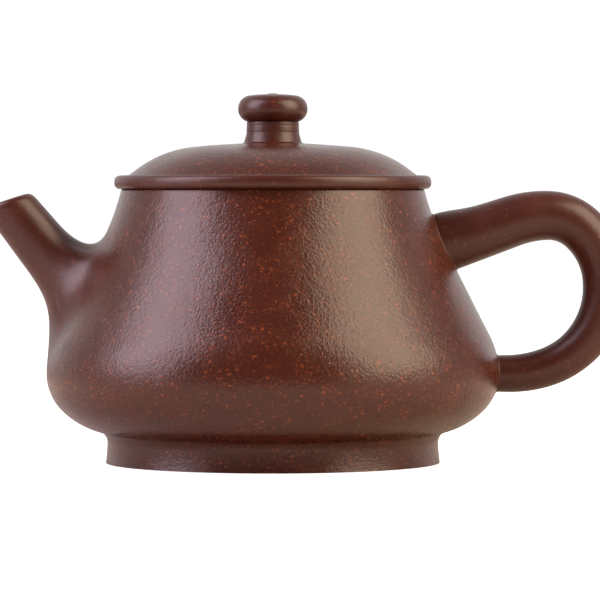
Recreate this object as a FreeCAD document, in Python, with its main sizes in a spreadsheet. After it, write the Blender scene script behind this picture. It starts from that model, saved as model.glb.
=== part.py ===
import FreeCAD, Part
import math
import os
import Sketcher
from FreeCAD import Placement, Rotation, Vector

# A round, hand-built stoneware teapot. The pot's axis is Z, its foot rests on Z = 0, the spout points
# along -X and the handle along +X. Every clay piece that the potter makes and lutes on is one sub-part.

doc = FreeCAD.newDocument("Teapot")
sheet = doc.addObject("Spreadsheet::Sheet", "Sizes")

DRIVING_SIZES = [
    # The wall's outer line, from the belly up to the mouth and down to the foot
    ("belly_radius", 50.0),
    ("belly_height", 19.5),
    ("shoulder_slope", 27.0),
    ("upper_belly_bend", 19.2),
    ("flank_length", 18.0),
    ("neck_sweep_bend", 88.0),
    ("lower_belly_bend", 11.0),
    ("lower_belly_turn", 46.0),
    ("underside_bend", 19.0),
    ("wall_thickness", 3.0),
    # The mouth
    ("mouth_height", 60.4),
    ("mouth_bore", 28.35),
    ("mouth_ring_radius", 31.6),
    ("mouth_ring_depth", 3.0),
    ("lip_rounding", 0.45),
    # The foot
    ("foot_height", 6.9),
    ("foot_radius", 36.6),
    ("foot_flare", 0.3),
    ("foot_bore", 32.6),
    ("foot_rounding", 0.7),
    ("base_underside", 5.9),
    # The lid
    ("lid_radius", 35.0),
    ("lid_rim_height", 3.0),
    ("lid_rim_rounding", 1.2),
    ("lid_seat_thickness", 1.6),
    ("lid_seat_bore", 28.3),
    ("dome_foot_radius", 31.9),
    ("dome_height", 70.63),
    ("dome_shoulder_radius", 30.3),
    ("dome_shoulder_height", 64.65),
    ("dome_shoulder_bend", 24.5),
    ("dome_thickness", 3.0),
    ("flange_radius", 28.1),
    ("flange_wall", 3.0),
    ("flange_depth", 7.0),
    ("vent_radius", 0.6),
    ("vent_burr_radius", 1.0),
    ("vent_burr_height", 0.15),
    # The knob
    ("knob_neck_radius", 5.75),
    ("knob_neck_top", 75.2),
    ("knob_neck_fillet", 1.0),
    ("knob_edge_bend", 2.97),
    ("knob_edge_centre", 4.65),
    ("knob_edge_height", 78.1),
    ("knob_crown_bend", 38.0),
    # The spout: reach runs along its own axis from a point inside the chamber
    ("spout_angle", 50.0),
    ("spout_start_reach", 36.8),
    ("spout_start_height", 31.4),
    ("spout_length", 38.0),
    ("spout_tip_radius", 5.5),
    ("spout_mid_radius", 5.9),
    ("spout_mid_reach", 23.0),
    ("spout_flare_bend", 25.0),
    ("spout_root_reach", 5.0),
    ("spout_tip_reach", 58.9),
    ("spout_tip_height", 57.9),
    ("spout_tip_tilt", 18.5),
    ("spout_tip_rounding", 0.8),
    ("spout_bore", 3.3),
    ("spout_bore_start", 22.0),
    ("spout_port", 6.5),
    ("spout_port_reach", 10.0),
    # The strainer, a pierced dome over the port inside the pot
    ("strainer_dome_radius", 8.6),
    ("strainer_wall", 1.4),
    ("strainer_centre_reach", 7.5),
    ("strainer_hole", 0.9),
    # The handle: a round bar along straight and arc stretches
    ("handle_top_reach", 60.75),
    ("handle_top_height", 54.6),
    ("handle_rise", 19.1),
    ("handle_rise_bend", 25.0),
    ("handle_crown_bend", 11.0),
    ("handle_back_reach", 73.6),
    ("handle_back_height", 39.5),
    ("handle_low_bend", 18.3),
    ("handle_end_height", 19.65),
    ("handle_root_radius", 6.2),
    ("handle_back_radius", 5.1),
    ("handle_end_radius", 4.05),
]
for row, (alias, value) in enumerate(DRIVING_SIZES, start=1):
    sheet.set(f"A{row}", alias)
    sheet.set(f"B{row}", str(value))
    sheet.setAlias(f"B{row}", alias)
doc.recompute()


class Size:
    """A number that remembers the spreadsheet expression it came from."""

    def __init__(self, value, text=None):
        self.value = float(value)
        self.text = text or repr(float(value))

    def _join(self, other, sign, value):
        return Size(value, f"({self.text} {sign} {other.text})")

    def __add__(self, other):
        other = as_size(other)
        return self._join(other, "+", self.value + other.value)

    def __sub__(self, other):
        other = as_size(other)
        return self._join(other, "-", self.value - other.value)

    def __mul__(self, other):
        other = as_size(other)
        return self._join(other, "*", self.value * other.value)

    def __truediv__(self, other):
        other = as_size(other)
        return self._join(other, "/", self.value / other.value)


def as_size(number):
    return number if isinstance(number, Size) else Size(number)


def cosine(angle):
    return Size(math.cos(math.radians(angle.value)), f"cos({angle.text})")


def sine(angle):
    return Size(math.sin(math.radians(angle.value)), f"sin({angle.text})")


def root(number):
    return Size(math.sqrt(number.value), f"sqrt({number.text})")


S = {alias: Size(value, f"Sizes.{alias}") for alias, value in DRIVING_SIZES}
ZERO = as_size(0.0)


# ---------------------------------------------------------------- sketches and bodies


def new_body(label):
    body = doc.addObject("PartDesign::Body", label)
    body.Label = label
    return body


def origin_plane(body, role):
    return next(f for f in body.Origin.OriginFeatures if f.Role == role)


def flat_sketch(body, name, role="XZ_Plane"):
    sketch = body.newObject("Sketcher::SketchObject", name)
    sketch.AttachmentSupport = [(origin_plane(body, role), "")]
    sketch.MapMode = "FlatFace"
    return sketch


def bind(sketch, constraint, size):
    index = sketch.addConstraint(constraint)
    sketch.setExpression(f"Constraints[{index}]", size.text)


def add_outline(sketch, corners, bends):
    """Draws a closed outline. corners are (across, up) pairs of Size. bends maps the number of a corner to
    the arc that runs from it to the next corner: (centre across, centre up, radius, turns_left)."""
    ends = []
    for i, (across, up) in enumerate(corners):
        nxt_across, nxt_up = corners[(i + 1) % len(corners)]
        p = Vector(across.value, up.value, 0)
        q = Vector(nxt_across.value, nxt_up.value, 0)
        if i not in bends:
            geo = sketch.addGeometry(Part.LineSegment(p, q))
            ends.append((geo, 1, 2))
            continue
        cx, cy, radius, turns_left = bends[i]
        centre = Vector(cx.value, cy.value, 0)
        circle = Part.Circle(centre, Vector(0, 0, 1), radius.value)
        first, last = (p, q) if turns_left else (q, p)
        start = math.atan2(first.y - centre.y, first.x - centre.x)
        stop = math.atan2(last.y - centre.y, last.x - centre.x)
        if stop <= start:
            stop += 2 * math.pi
        geo = sketch.addGeometry(Part.ArcOfCircle(circle, start, stop))
        ends.append((geo, 1, 2) if turns_left else (geo, 2, 1))
        bind(sketch, Sketcher.Constraint("Radius", geo, radius.value), radius)
    for i, (across, up) in enumerate(corners):
        geo, first, last = ends[i]
        before, _, before_last = ends[i - 1]
        sketch.addConstraint(Sketcher.Constraint("Coincident", before, before_last, geo, first))
        for kind, size, axis in (("DistanceX", across, -2), ("DistanceY", up, -1)):
            if abs(size.value) < 1e-9:
                sketch.addConstraint(Sketcher.Constraint("PointOnObject", geo, first, axis))
            else:
                bind(sketch, Sketcher.Constraint(kind, -1, 1, geo, first, size.value), size)


def revolved(label, corners, bends):
    """A body of revolution about its own Z axis."""
    body = new_body(label)
    sketch = flat_sketch(body, f"{label}_outline")
    add_outline(sketch, corners, bends)
    turn = body.newObject("PartDesign::Revolution", f"{label}_turned")
    turn.Profile = sketch
    turn.ReferenceAxis = (sketch, ["V_Axis"])
    turn.Angle = 360
    body.Tip = turn
    doc.recompute()
    return body


def round_edges(body, name, size, wanted):
    """Fillets the tip's edges that wanted(edge) picks."""
    before = body.Tip
    names = [f"Edge{i}" for i, edge in enumerate(before.Shape.Edges, start=1) if wanted(edge)]
    fillet = body.newObject("PartDesign::Fillet", name)
    fillet.Base = (before, names)
    fillet.Radius = size.value
    fillet.setExpression("Radius", size.text)
    body.Tip = fillet
    doc.recompute()


def is_circle(edge, radius, height):
    """True for the full circle about Z with that radius at that height."""
    curve = edge.Curve
    return (
        isinstance(curve, Part.Circle)
        and abs(curve.Radius - radius.value) < 0.02
        and abs(curve.Center.z - height.value) < 0.02
    )


def boolean(kind, label, base, *tools):
    made = doc.addObject(kind, label)
    made.Label = label
    if kind == "Part::Cut":
        made.Base, made.Tool = base, tools[0]
    else:
        made.Shapes = [base, *tools]
    doc.recompute()
    return made


# ---------------------------------------------------------------- the wall's outer and inner lines

slope = S["shoulder_slope"]
turn = S["lower_belly_turn"]
upper_centre = (S["belly_radius"] - S["upper_belly_bend"], S["belly_height"])
lower_centre = (S["belly_radius"] - S["lower_belly_bend"], S["belly_height"])
underside_centre = (
    lower_centre[0] - (S["underside_bend"] - S["lower_belly_bend"]) * cosine(turn),
    lower_centre[1] + (S["underside_bend"] - S["lower_belly_bend"]) * sine(turn),
)
flank_foot = (
    upper_centre[0] + S["upper_belly_bend"] * cosine(slope),
    upper_centre[1] + S["upper_belly_bend"] * sine(slope),
)
flank_top = (
    flank_foot[0] - S["flank_length"] * sine(slope),
    flank_foot[1] + S["flank_length"] * cosine(slope),
)
sweep_centre = (
    flank_top[0] + S["neck_sweep_bend"] * cosine(slope),
    flank_top[1] + S["neck_sweep_bend"] * sine(slope),
)


def on_sweep(height, radius):
    """The point at that height on the neck's hollow sweep, whose arc has that radius."""
    rise = sweep_centre[1] - height
    return (sweep_centre[0] - root(radius * radius - rise * rise), height)


def on_underside(height, radius):
    """The point at that height on the arc under the belly, whose arc has that radius."""
    drop = underside_centre[1] - height
    return (underside_centre[0] + root(radius * radius - drop * drop), height)


def wall_line(inset):
    """The wall's line at that inset from its outer face, from under the belly up to the flank's top, with
    the radii of its arcs."""
    radii = {
        "underside": S["underside_bend"] - inset,
        "lower": S["lower_belly_bend"] - inset,
        "upper": S["upper_belly_bend"] - inset,
        "sweep": S["neck_sweep_bend"] + inset,
    }
    points = {
        "turned": (
            lower_centre[0] + radii["lower"] * cosine(turn),
            lower_centre[1] - radii["lower"] * sine(turn),
        ),
        "belly": (S["belly_radius"] - inset, S["belly_height"]),
        "flank_foot": (flank_foot[0] - inset * cosine(slope), flank_foot[1] - inset * sine(slope)),
        "flank_top": (flank_top[0] - inset * cosine(slope), flank_top[1] - inset * sine(slope)),
    }
    return points, radii


outer, outer_radii = wall_line(ZERO)
inner, inner_radii = wall_line(S["wall_thickness"])
wall_foot = on_underside(S["foot_height"], outer_radii["underside"])
mouth_edge = on_sweep(S["mouth_height"], outer_radii["sweep"])
ledge_height = S["mouth_height"] - S["mouth_ring_depth"]
ledge_edge = on_sweep(ledge_height, inner_radii["sweep"])
floor_height = underside_centre[1] - inner_radii["underside"]
base_radius = underside_centre[0]


def outer_stretch(first):
    """Corners and arcs of the wall's outer line from the foot up to the mouth, numbered from first."""
    corners = [wall_foot, outer["turned"], outer["belly"], outer["flank_foot"], outer["flank_top"]]
    bends = {
        first: (*underside_centre, outer_radii["underside"], True),
        first + 1: (*lower_centre, outer_radii["lower"], True),
        first + 2: (*upper_centre, outer_radii["upper"], True),
        first + 4: (*sweep_centre, outer_radii["sweep"], False),
    }
    return corners, bends


def inner_stretch(first):
    """The wall's inner line from the mouth's ledge down to the floor, numbered from first."""
    corners = [ledge_edge, inner["flank_top"], inner["flank_foot"], inner["belly"], inner["turned"]]
    bends = {
        first: (*sweep_centre, inner_radii["sweep"], True),
        first + 2: (*upper_centre, inner_radii["upper"], False),
        first + 3: (*lower_centre, inner_radii["lower"], False),
        first + 4: (*underside_centre, inner_radii["underside"], False),
    }
    return corners, bends


# ---------------------------------------------------------------- helpers that cut neighbours to fit

# The whole pot filled in to its outer face, which trims the spout's and the handle's ends.
stretch, bends = outer_stretch(1)
envelope = revolved(
    "pot_envelope",
    [(ZERO, S["foot_height"]), *stretch, mouth_edge, (ZERO, S["mouth_height"])],
    bends,
)

# The chamber's own volume, which trims the strainer's rim to the inside of the wall.
stretch, bends = inner_stretch(1)
chamber = revolved(
    "chamber",
    [(ZERO, ledge_height), *stretch, (base_radius, floor_height), (ZERO, floor_height)],
    bends,
)


# ---------------------------------------------------------------- spout frame

# The spout's own Z axis runs outwards along its middle line, leaning towards -X.
spout_frame = Placement(
    Vector(-S["spout_start_reach"].value, 0, S["spout_start_height"].value),
    Rotation(Vector(0, -1, 0), 90 - S["spout_angle"].value),
)


def place_on_spout(made):
    """Puts an object that was made along Z onto the spout's axis, bound to the sheet."""
    made.Placement = spout_frame
    made.setExpression("Placement.Base.x", "-Sizes.spout_start_reach")
    made.setExpression("Placement.Base.z", "Sizes.spout_start_height")
    made.setExpression("Placement.Rotation.Angle", "90 - Sizes.spout_angle")


# ---------------------------------------------------------------- pot: wall, mouth ring, base, foot


def make_body_wall():
    """The beaten side wall, open at the foot and the mouth, with the port that leads to the spout."""
    up, up_bends = outer_stretch(1)
    lip = [mouth_edge, (S["mouth_ring_radius"], S["mouth_height"]), (S["mouth_ring_radius"], ledge_height)]
    down, down_bends = inner_stretch(1 + len(up) + len(lip))
    corners = [(base_radius, S["foot_height"]), *up, *lip, *down, (base_radius, floor_height)]
    shell = revolved("wall_shell", corners, {**up_bends, **down_bends})
    round_edges(
        shell,
        "lip_round",
        S["lip_rounding"],
        lambda edge: is_circle(edge, mouth_edge[0], S["mouth_height"]),
    )
    port = doc.addObject("Part::Cylinder", "spout_port_cutter")
    port.Height = S["spout_length"].value
    port.setExpression("Height", "Sizes.spout_length")
    port.setExpression("Radius", "Sizes.spout_port")
    place_on_spout(port)
    return boolean("Part::Cut", "body_wall", shell, port)


def make_mouth_ring():
    """The ring luted inside the wall's top, bored for the lid's flange."""
    corners = [
        (S["mouth_bore"], ledge_height),
        (S["mouth_ring_radius"], ledge_height),
        (S["mouth_ring_radius"], S["mouth_height"]),
        (S["mouth_bore"], S["mouth_height"]),
    ]
    ring = revolved("mouth_ring", corners, {})
    for name, height in (("bore_top", S["mouth_height"]), ("bore_foot", ledge_height)):
        round_edges(
            ring,
            name,
            S["lip_rounding"],
            lambda edge, z=height: is_circle(edge, S["mouth_bore"], z),
        )
    return ring


def make_base_disc():
    """The round slab that closes the pot's bottom."""
    disc = new_body("base_disc")
    sketch = flat_sketch(disc, "base_circle", "XY_Plane")
    circle = Part.Circle(Vector(0, 0, 0), Vector(0, 0, 1), base_radius.value)
    geo = sketch.addGeometry(circle)
    sketch.addConstraint(Sketcher.Constraint("Coincident", geo, 3, -1, 1))
    bind(sketch, Sketcher.Constraint("Radius", geo, base_radius.value), base_radius)
    sketch.AttachmentOffset = Placement(Vector(0, 0, S["base_underside"].value), Rotation())
    sketch.setExpression("AttachmentOffset.Base.z", S["base_underside"].text)
    pad = disc.newObject("PartDesign::Pad", "base_pad")
    pad.Profile = sketch
    thickness = floor_height - S["base_underside"]
    pad.Length = thickness.value
    pad.setExpression("Length", thickness.text)
    disc.Tip = pad
    doc.recompute()
    return disc


def make_foot_ring():
    """The turned foot, waisted outside, with the slip fillet that runs up under the belly."""
    drop = underside_centre[1] - S["foot_height"]
    run = wall_foot[0] - underside_centre[0]
    # The hollow fillet is tangent to the underside's arc at the wall's foot, so its centre lies on the
    # same line; its radius brings it down to the foot's waist, where it stands upright.
    share = run / outer_radii["underside"]
    fillet = (wall_foot[0] - S["foot_radius"]) / (ZERO + 1.0 - share)
    centre = (S["foot_radius"] + fillet, S["foot_height"] - fillet * (drop / outer_radii["underside"]))
    toe = S["foot_radius"] + S["foot_flare"]
    # The waist's slow outward flare is one arc, upright at the top and reaching the toe at the bottom.
    flare_rise = centre[1]
    flare_bend = (flare_rise * flare_rise + S["foot_flare"] * S["foot_flare"]) / (S["foot_flare"] * 2.0)
    corners = [
        (S["foot_bore"], ZERO),
        (toe, ZERO),
        (S["foot_radius"], centre[1]),
        wall_foot,
        (base_radius, S["foot_height"]),
        (base_radius, S["base_underside"]),
        (S["foot_bore"], S["base_underside"]),
    ]
    bends = {
        1: (S["foot_radius"] + flare_bend, centre[1], flare_bend, False),
        2: (*centre, fillet, False),
    }
    ring = revolved("foot_ring", corners, bends)
    for name, radius in (("toe_round", toe), ("heel_round", S["foot_bore"])):
        round_edges(
            ring, name, S["foot_rounding"], lambda edge, r=radius: is_circle(edge, r, ZERO)
        )
    return ring


# ---------------------------------------------------------------- spout and strainer


def make_spout():
    """The tapered spout, flared at its root, cut level at the lip and fitted to the wall."""
    mid, tip = S["spout_mid_reach"], S["spout_length"]
    flare = S["spout_mid_radius"] + S["spout_flare_bend"]
    drop = mid - S["spout_root_reach"]
    root_radius = flare - root(S["spout_flare_bend"] * S["spout_flare_bend"] - drop * drop)
    corners = [
        (S["spout_port"], ZERO),
        (root_radius, ZERO),
        (root_radius, S["spout_root_reach"]),
        (S["spout_mid_radius"], mid),
        (S["spout_tip_radius"], tip),
        (S["spout_bore"], tip),
        (S["spout_bore"], S["spout_bore_start"]),
        (S["spout_port"], S["spout_port_reach"]),
    ]
    bends = {2: (flare, mid, S["spout_flare_bend"], False)}
    trumpet = revolved("spout_trumpet", corners, bends)
    place_on_spout(trumpet)
    fitted = boolean("Part::Cut", "spout_fitted", trumpet, envelope)
    knife = doc.addObject("Part::Box", "lip_knife")
    side = 4 * S["spout_tip_radius"].value
    for name in ("Length", "Width", "Height"):
        setattr(knife, name, side)
        knife.setExpression(name, "4 * Sizes.spout_tip_radius")
    tilt = Rotation(Vector(0, 1, 0), -S["spout_tip_tilt"].value)
    tip_point = Vector(-S["spout_tip_reach"].value, 0, S["spout_tip_height"].value)
    knife.Placement = Placement(tip_point + tilt.multVec(Vector(-side / 2, -side / 2, 0)), tilt)
    spout = boolean("Part::Cut", "spout_open", fitted, knife)
    rounded = doc.addObject("Part::Fillet", "spout")
    rounded.Base = spout
    normal = tilt.multVec(Vector(0, 0, 1))
    lip_edges = []
    for i, edge in enumerate(spout.Shape.Edges, start=1):
        spread = [abs((vertex.Point - tip_point).dot(normal)) for vertex in edge.Vertexes]
        middle = abs((edge.CenterOfMass - tip_point).dot(normal))
        if max(spread + [middle]) < 1e-3:
            outside = edge.BoundBox.YLength > 2 * S["spout_bore"].value + 1
            size = S["spout_tip_rounding"] * (1.0 if outside else 0.6)
            lip_edges.append((i, size.value, size.value))
    rounded.Edges = lip_edges
    doc.recompute()
    return rounded


def make_strainer():
    """The pierced dome luted over the spout's port, inside the chamber."""
    outside, wall = S["strainer_dome_radius"], S["strainer_wall"]
    inside = outside - wall
    centre = S["strainer_centre_reach"]
    skirt = centre + 9.0
    corners = [
        (inside, centre),
        (inside, skirt),
        (outside, skirt),
        (outside, centre),
        (ZERO, centre - outside),
        (ZERO, centre - inside),
    ]
    bends = {3: (ZERO, centre, outside, False), 5: (ZERO, centre, inside, True)}
    dome = revolved("strainer_dome", corners, bends)
    cutters = []
    for ring, (count, lean) in enumerate(((1, 0.0), (6, 27.0), (12, 52.0))):
        for k in range(count):
            pin = doc.addObject("Part::Cylinder", f"strainer_pin_{ring}_{k}")
            pin.setExpression("Height", "3 * Sizes.strainer_wall")
            pin.setExpression("Radius", "Sizes.strainer_hole")
            away = Rotation(Vector(0, 0, 1), 360.0 * k / count).multiply(
                Rotation(Vector(0, 1, 0), 180.0 - lean)
            )
            start = Vector(0, 0, centre.value) + away.multVec(Vector(0, 0, (inside - wall).value))
            pin.Placement = Placement(start, away)
            cutters.append(pin)
    pins = boolean("Part::MultiFuse", "strainer_pins", *cutters)
    pierced = boolean("Part::Cut", "strainer_pierced", dome, pins)
    pierced.Placement = spout_frame
    place_on_spout(pierced)
    return boolean("Part::MultiCommon", "strainer", pierced, chamber)


# ---------------------------------------------------------------- handle


def handle_stretches():
    """The handle's middle line as straight and arc stretches in the XZ plane, each tangent to the next.
    Each is (length, point at a distance along it, direction there)."""
    crown = Vector(S["handle_top_reach"].value, 0, S["handle_top_height"].value)
    back = Vector(S["handle_back_reach"].value, 0, S["handle_back_height"].value)
    rise, rise_bend = math.radians(S["handle_rise"].value), S["handle_rise_bend"].value
    crown_bend, low_bend = S["handle_crown_bend"].value, S["handle_low_bend"].value
    end_height = S["handle_end_height"].value

    def arc(centre, radius, start, stop):
        """A stretch that turns clockwise, from one direction of the radius to another, in radians."""
        length = radius * (start - stop)

        def at(distance):
            angle = start - distance / radius
            place = centre + Vector(math.cos(angle), 0, math.sin(angle)) * radius
            return place, Vector(math.sin(angle), 0, -math.cos(angle))

        return length, at

    def line(start, way, length):
        return length, lambda distance: (start + way * distance, way)

    # Where the rise's straight run begins, well inside the wall
    rise_centre = crown - Vector(0, 0, rise_bend)
    rise_foot = rise_centre + Vector(-math.sin(rise), 0, math.cos(rise)) * rise_bend
    way_up = Vector(math.cos(rise), 0, math.sin(rise))
    run = (rise_foot.x - 35.0) / way_up.x
    # The crown's arc meets the back's arc on the line through both centres.
    crown_centre = crown - Vector(0, 0, crown_bend)
    across, drop = back.x - crown.x, crown_centre.z - back.z
    back_bend = (across**2 + drop**2 - crown_bend**2) / (2 * (across - crown_bend))
    back_centre = back - Vector(back_bend, 0, 0)
    meet = math.atan2(crown_centre.z - back_centre.z, crown_centre.x - back_centre.x)
    # The lower arc leaves the back upright and meets the last arc, which ends level.
    low_centre = back - Vector(low_bend, 0, 0)
    end_reach = S["belly_radius"].value + 2.0
    across, drop = low_centre.x - end_reach, low_centre.z - end_height
    end_bend = (across**2 + drop**2 - low_bend**2) / (2 * (drop - low_bend))
    end_centre = Vector(end_reach, 0, end_height + end_bend)
    low_meet = math.atan2(low_centre.z - end_centre.z, low_centre.x - end_centre.x)
    return [
        line(rise_foot - way_up * run, way_up, run),
        arc(rise_centre, rise_bend, math.pi / 2 + rise, math.pi / 2),
        arc(crown_centre, crown_bend, math.pi / 2, meet),
        arc(back_centre, back_bend, meet, 0.0),
        arc(low_centre, low_bend, 0.0, low_meet),
        arc(end_centre, end_bend, low_meet, -math.pi / 2),
        line(Vector(end_reach, 0, end_height), Vector(-1, 0, 0), 6.0),
    ]


def make_handle():
    """The ear-shaped handle, a round bar that thins from its root to its lower end."""
    stretches = handle_stretches()
    total = sum(length for length, _ in stretches)
    to_back = sum(length for length, _ in stretches[:4])
    bar = new_body("handle_bar")
    sections = []
    travelled = 0.0
    for number, (length, at) in enumerate(stretches):
        steps = max(2, round(length / 5.0))
        for k in range(steps if number < len(stretches) - 1 else steps + 1):
            distance = length * k / steps
            place, way = at(distance)
            along = travelled + distance
            if along < to_back:
                share = along / to_back
                radius = S["handle_root_radius"] + (
                    S["handle_back_radius"] - S["handle_root_radius"]
                ) * share
            else:
                share = (along - to_back) / (total - to_back)
                radius = S["handle_back_radius"] + (
                    S["handle_end_radius"] - S["handle_back_radius"]
                ) * share
            sketch = flat_sketch(bar, f"bar_section_{len(sections)}", "XY_Plane")
            geo = sketch.addGeometry(Part.Circle(Vector(0, 0, 0), Vector(0, 0, 1), radius.value))
            sketch.addConstraint(Sketcher.Constraint("Coincident", geo, 3, -1, 1))
            bind(sketch, Sketcher.Constraint("Radius", geo, radius.value), radius)
            lean = math.degrees(math.atan2(way.x, way.z))
            sketch.AttachmentOffset = Placement(place, Rotation(Vector(0, 1, 0), lean))
            sections.append(sketch)
        travelled += length
    doc.recompute()
    loft = bar.newObject("PartDesign::AdditiveLoft", "bar_loft")
    loft.Profile = sections[0]
    loft.Sections = sections[1:]
    bar.Tip = loft
    doc.recompute()
    return boolean("Part::Cut", "handle", bar, envelope)


# ---------------------------------------------------------------- lid

seat_top = S["mouth_height"] + S["lid_seat_thickness"]
rim_top = S["mouth_height"] + S["lid_rim_height"]
# The dome's side runs straight from the rim up to its shoulder arc, and the crown's wide arc meets the
# shoulder arc on the line through both centres.
side_run = root(
    (S["dome_foot_radius"] - S["dome_shoulder_radius"])
    * (S["dome_foot_radius"] - S["dome_shoulder_radius"])
    + (S["dome_shoulder_height"] - rim_top) * (S["dome_shoulder_height"] - rim_top)
)
side_across = (S["dome_foot_radius"] - S["dome_shoulder_radius"]) / side_run
side_up = (S["dome_shoulder_height"] - rim_top) / side_run
shoulder_centre = (
    S["dome_shoulder_radius"] - S["dome_shoulder_bend"] * side_up,
    S["dome_shoulder_height"] - S["dome_shoulder_bend"] * side_across,
)
crown_gap = S["dome_height"] - shoulder_centre[1]
crown_bend = (
    shoulder_centre[0] * shoulder_centre[0]
    + crown_gap * crown_gap
    - S["dome_shoulder_bend"] * S["dome_shoulder_bend"]
) / ((crown_gap - S["dome_shoulder_bend"]) * 2.0)
crown_centre = (ZERO, S["dome_height"] - crown_bend)


def on_crown(across, inset):
    """The point of the crown at that distance from the axis, inset from its outer face."""
    bend = crown_bend - inset
    return (across, crown_centre[1] + root(bend * bend - across * across))


def crown_meets_shoulder(inset):
    """Where the crown's arc ends and the shoulder's begins, at that inset."""
    reach = crown_bend - S["dome_shoulder_bend"]
    share = (crown_bend - inset) / reach
    return (
        shoulder_centre[0] * share,
        crown_centre[1] + (shoulder_centre[1] - crown_centre[1]) * share,
    )


def make_lid_plate():
    """The domed slab of the lid, hollowed to an even wall, with the vent through its middle."""
    inset = S["dome_thickness"]
    flange_bore = S["flange_radius"] - S["flange_wall"]
    bend = S["dome_shoulder_bend"] - inset
    reach = flange_bore - shoulder_centre[0]
    hollow_edge = (flange_bore, shoulder_centre[1] + root(bend * bend - reach * reach))
    corners = [
        (flange_bore, seat_top),
        (S["dome_foot_radius"], seat_top),
        (S["dome_foot_radius"], rim_top),
        (S["dome_shoulder_radius"], S["dome_shoulder_height"]),
        crown_meets_shoulder(ZERO),
        on_crown(S["vent_radius"], ZERO),
        on_crown(S["vent_radius"], inset),
        crown_meets_shoulder(inset),
        hollow_edge,
    ]
    bends = {
        3: (*shoulder_centre, S["dome_shoulder_bend"], True),
        4: (*crown_centre, crown_bend, True),
        6: (*crown_centre, crown_bend - inset, False),
        7: (*shoulder_centre, bend, False),
    }
    return revolved("lid_plate", corners, bends)


def make_lid_rim():
    """The flat ring with a bull-nosed edge that rests on the pot's mouth."""
    corners = [
        (S["lid_seat_bore"], S["mouth_height"]),
        (S["lid_radius"], S["mouth_height"]),
        (S["lid_radius"], rim_top),
        (S["dome_foot_radius"], rim_top),
        (S["dome_foot_radius"], seat_top),
        (S["lid_seat_bore"], seat_top),
    ]
    ring = revolved("lid_rim", corners, {})
    for name, height in (("rim_round_low", S["mouth_height"]), ("rim_round_high", rim_top)):
        round_edges(
            ring,
            name,
            S["lid_rim_rounding"],
            lambda edge, z=height: is_circle(edge, S["lid_radius"], z),
        )
    return ring


def make_lid_flange():
    """The upright ring under the lid that keeps it centred in the mouth."""
    low = S["mouth_height"] - S["flange_depth"]
    bore = S["flange_radius"] - S["flange_wall"]
    corners = [
        (bore, low),
        (S["flange_radius"], low),
        (S["flange_radius"], seat_top),
        (bore, seat_top),
    ]
    ring = revolved("lid_flange", corners, {})
    for name, radius in (("flange_round_out", S["flange_radius"]), ("flange_round_in", bore)):
        round_edges(
            ring, name, S["lip_rounding"], lambda edge, r=radius: is_circle(edge, r, low)
        )
    return ring


def make_knob_neck():
    """The short stem under the knob, standing on the dome's crown."""
    foot = S["knob_neck_radius"] + S["knob_neck_fillet"]
    step = on_crown(foot, ZERO)
    corners = [
        on_crown(S["vent_radius"], ZERO),
        step,
        (S["knob_neck_radius"], step[1] + S["knob_neck_fillet"]),
        (S["knob_neck_radius"], S["knob_neck_top"]),
        (S["vent_radius"], S["knob_neck_top"]),
    ]
    bends = {
        0: (*crown_centre, crown_bend, False),
        1: (foot, step[1] + S["knob_neck_fillet"], S["knob_neck_fillet"], False),
    }
    return revolved("knob_neck", corners, bends)


def make_knob():
    """The round button, a thick disc with a full edge and a slightly crowned top, and the low burr that
    piercing the vent leaves round its mouth."""
    edge, centre_x, centre_z = S["knob_edge_bend"], S["knob_edge_centre"], S["knob_edge_height"]
    reach = S["knob_crown_bend"] - edge
    knob_crown_height = centre_z - root(reach * reach - centre_x * centre_x)
    share = S["knob_crown_bend"] / reach
    meets = (centre_x * share, knob_crown_height + (centre_z - knob_crown_height) * share)
    under = root(edge * edge - (centre_z - S["knob_neck_top"]) * (centre_z - S["knob_neck_top"]))
    burr_foot = knob_crown_height + root(
        S["knob_crown_bend"] * S["knob_crown_bend"] - S["vent_burr_radius"] * S["vent_burr_radius"]
    )
    burr_top = burr_foot + S["vent_burr_height"]
    corners = [
        (S["vent_radius"], S["knob_neck_top"]),
        (centre_x + under, S["knob_neck_top"]),
        meets,
        (S["vent_burr_radius"], burr_foot),
        (S["vent_burr_radius"], burr_top),
        (S["vent_radius"], burr_top),
    ]
    bends = {
        1: (centre_x, centre_z, edge, True),
        2: (ZERO, knob_crown_height, S["knob_crown_bend"], True),
    }
    return revolved("knob", corners, bends)


# ---------------------------------------------------------------- build, check and write

PARTS = {
    "body_wall": make_body_wall,
    "mouth_ring": make_mouth_ring,
    "base_disc": make_base_disc,
    "foot_ring": make_foot_ring,
    "spout": make_spout,
    "strainer": make_strainer,
    "handle": make_handle,
    "lid_plate": make_lid_plate,
    "lid_rim": make_lid_rim,
    "lid_flange": make_lid_flange,
    "knob_neck": make_knob_neck,
    "knob": make_knob,
}
made_parts = {}
for node, make in PARTS.items():
    made_parts[node] = make()
    made_parts[node].Label = node
doc.recompute()

for item in doc.Objects:
    if "Invalid" in item.State or "Error" in item.State:
        raise RuntimeError(f"{item.Label} failed: {item.State}")
os.makedirs("parts", exist_ok=True)
for node, item in made_parts.items():
    shape = item.Shape
    if shape.isNull() or not shape.isValid() or not shape.Solids:
        raise RuntimeError(f"{node} has no valid solid")
    box = shape.BoundBox
    print(
        f"{node}: {len(shape.Solids)} solid, {shape.Volume:.1f} mm3, "
        f"x {box.XMin:.2f} {box.XMax:.2f}, y {box.YMin:.2f} {box.YMax:.2f}, z {box.ZMin:.2f} {box.ZMax:.2f}"
    )
    shape.exportStep(f"parts/{node}.step")
print(f"chamber holds {chamber.Shape.Volume / 1000:.0f} ml")
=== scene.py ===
import math

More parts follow.
